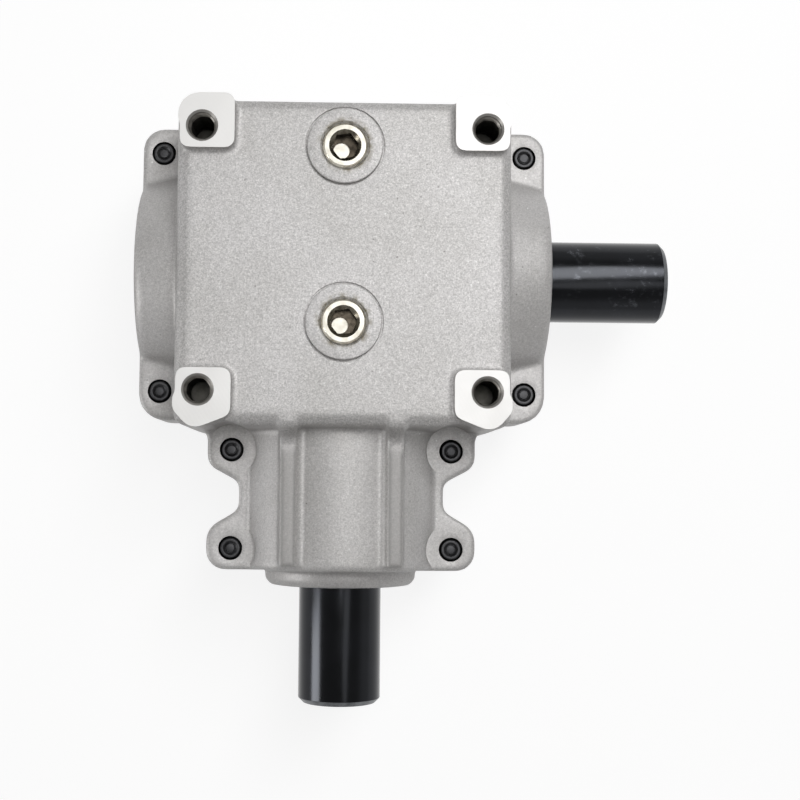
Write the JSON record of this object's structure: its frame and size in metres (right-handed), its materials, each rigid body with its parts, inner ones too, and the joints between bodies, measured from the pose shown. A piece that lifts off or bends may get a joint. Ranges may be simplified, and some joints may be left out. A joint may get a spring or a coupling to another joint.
{
  "type": "mower deck gearbox",
  "caption": "Right-angle bevel gearbox in a split cast housing, with two keyed shaft ends and a four-hole mounting face.",
  "frame": {"origin": "centre of the four tapped mounting holes, on the machined face of the pads", "axes": "+Z out of the mounting pads, +X along the output shaft towards its free end, and the input shaft runs out towards -Y"},
  "size_m": [0.1631, 0.1796, 0.081],
  "materials": {
    "cast_aluminium": "shot-blasted die casting, pads machined bright",
    "black_oxide_steel": "black oxide over ground steel",
    "plated_steel": "bright nickel plate",
    "bearing_steel": "ground and polished",
    "gear_steel": "case-hardened, dull grey",
    "spring_steel": "phosphated",
    "seal_rubber": "moulded nitrile rubber",
    "cage_brass": "machined"
  },
  "bodies": {
    "housing": {"upper_housing": "cast_aluminium", "lower_housing": "cast_aluminium", "housing_screws": "black_oxide_steel", "locating_dowels": "bearing_steel", "fill_plug": "plated_steel", "level_plug": "plated_steel", "blind_end_cap": "seal_rubber", "output_shim": "spring_steel", "output_oil_seal": "seal_rubber", "output_seal_case": "spring_steel", "output_seal_spring": "spring_steel", "output_drive_bearing_outer": "bearing_steel", "output_blind_bearing_outer": "bearing_steel", "input_shim": "spring_steel", "input_oil_seal": "seal_rubber", "input_seal_case": "spring_steel", "input_seal_spring": "spring_steel", "input_rear_bearing_outer": "bearing_steel", "input_front_bearing_outer": "bearing_steel"},
    "output_shaft_assembly": {"output_shaft": "black_oxide_steel", "output_gear": "gear_steel", "output_gear_key": "gear_steel", "output_spacer_sleeve": "gear_steel", "output_drive_end_ring": "spring_steel", "output_blind_end_ring": "spring_steel", "output_drive_bearing_inner": "bearing_steel", "output_blind_bearing_inner": "bearing_steel"},
    "input_shaft_assembly": {"input_shaft": "black_oxide_steel", "input_pinion": "gear_steel", "input_pinion_key": "gear_steel", "input_pinion_ring": "spring_steel", "input_spacer_sleeve": "gear_steel", "input_bearing_ring": "spring_steel", "input_rear_bearing_inner": "bearing_steel", "input_front_bearing_inner": "bearing_steel"},
    "output_drive_bearing_set": {"output_drive_bearing_balls": "bearing_steel", "output_drive_bearing_cage": "cage_brass"},
    "output_blind_bearing_set": {"output_blind_bearing_balls": "bearing_steel", "output_blind_bearing_cage": "cage_brass"},
    "input_rear_bearing_set": {"input_rear_bearing_balls": "bearing_steel", "input_rear_bearing_cage": "cage_brass"},
    "input_front_bearing_set": {"input_front_bearing_balls": "bearing_steel", "input_front_bearing_cage": "cage_brass"}
  },
  "joints": [
    {"name": "output_spin", "type": "hinge", "parent": "housing", "child": "output_shaft_assembly", "pos_m": [0, 0, -0.04202], "axis": [1, 0, 0], "continuous": true},
    {"name": "input_spin", "type": "hinge", "parent": "housing", "child": "input_shaft_assembly", "pos_m": [0, 0, -0.04202], "axis": [0, -1, 0], "continuous": true},
    {"name": "output_drive_bearing_roll", "type": "hinge", "parent": "housing", "child": "output_drive_bearing_set", "pos_m": [0, 0, -0.04202], "axis": [1, 0, 0], "continuous": true},
    {"name": "output_blind_bearing_roll", "type": "hinge", "parent": "housing", "child": "output_blind_bearing_set", "pos_m": [0, 0, -0.04202], "axis": [1, 0, 0], "continuous": true},
    {"name": "input_rear_bearing_roll", "type": "hinge", "parent": "housing", "child": "input_rear_bearing_set", "pos_m": [0, 0, -0.04202], "axis": [0, -1, 0], "continuous": true},
    {"name": "input_front_bearing_roll", "type": "hinge", "parent": "housing", "child": "input_front_bearing_set", "pos_m": [0, 0, -0.04202], "axis": [0, -1, 0], "continuous": true}
  ],
  "couplings": [
    {"joint": "input_spin", "follows": "output_spin", "ratio": -1},
    {"joint": "output_drive_bearing_roll", "follows": "output_spin", "ratio": 0.3969},
    {"joint": "output_blind_bearing_roll", "follows": "output_spin", "ratio": 0.3969},
    {"joint": "input_rear_bearing_roll", "follows": "output_spin", "ratio": -0.3969},
    {"joint": "input_front_bearing_roll", "follows": "output_spin", "ratio": -0.3969}
  ]
}
